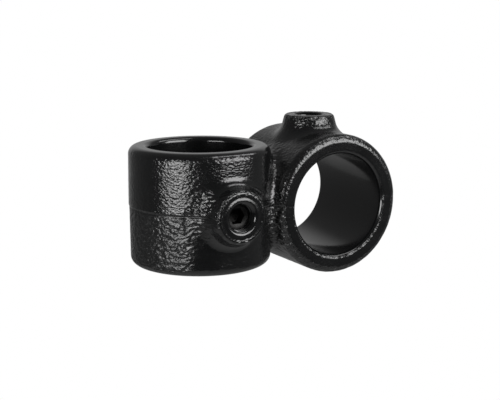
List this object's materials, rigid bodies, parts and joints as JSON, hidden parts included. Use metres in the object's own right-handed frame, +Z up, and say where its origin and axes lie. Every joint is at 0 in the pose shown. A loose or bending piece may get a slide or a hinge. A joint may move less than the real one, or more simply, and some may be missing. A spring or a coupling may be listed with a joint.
{
  "type": "crossover tube fitting",
  "caption": "Crossover tube fitting: an upright collar and a rail collar at a right angle, side by side in one casting, each clamping its tube with a set screw.",
  "frame": {"origin": "centre of the upright collar's bore: on its axis, at half its height", "axes": "+Z up along the upright bore, +X towards the rail collar, Y along the rail bore; the upright boss points along -Y and the rail boss along +Z"},
  "size_m": [0.0915, 0.0534, 0.0534],
  "materials": {
    "black_coat": "glossy black powder coat over pebbled cast iron",
    "black_steel": "black oxide, lightly oiled"
  },
  "bodies": {
    "fitting": {"cast_body": "black_coat"},
    "upright_screw_travelling": {"upright_screw_point": "black_steel"},
    "upright_screw_turning": {"upright_screw_barrel": "black_steel"},
    "rail_screw_travelling": {"rail_screw_point": "black_steel"},
    "rail_screw_turning": {"rail_screw_barrel": "black_steel"}
  },
  "joints": [
    {"name": "upright_screw_travel", "type": "slide", "parent": "fitting", "child": "upright_screw_travelling", "axis": [0, 1, 0], "range_m": [-0.0045, 0.003]},
    {"name": "upright_screw_turn", "type": "hinge", "parent": "upright_screw_travelling", "child": "upright_screw_turning", "pos_m": [0, -0.0217, 0], "axis": [0, 1, 0], "range_deg": [-1080, 720]},
    {"name": "rail_screw_travel", "type": "slide", "parent": "fitting", "child": "rail_screw_travelling", "axis": [0, 0, -1], "range_m": [-0.0045, 0.003]},
    {"name": "rail_screw_turn", "type": "hinge", "parent": "rail_screw_travelling", "child": "rail_screw_turning", "pos_m": [0.0433, 0, 0.0202], "axis": [0, 0, -1], "range_deg": [-1080, 720]}
  ],
  "couplings": [
    {"joint": "upright_screw_turn", "follows": "upright_screw_travel", "rad_per_m": 4188.8},
    {"joint": "rail_screw_turn", "follows": "rail_screw_travel", "rad_per_m": 4188.8}
  ]
}
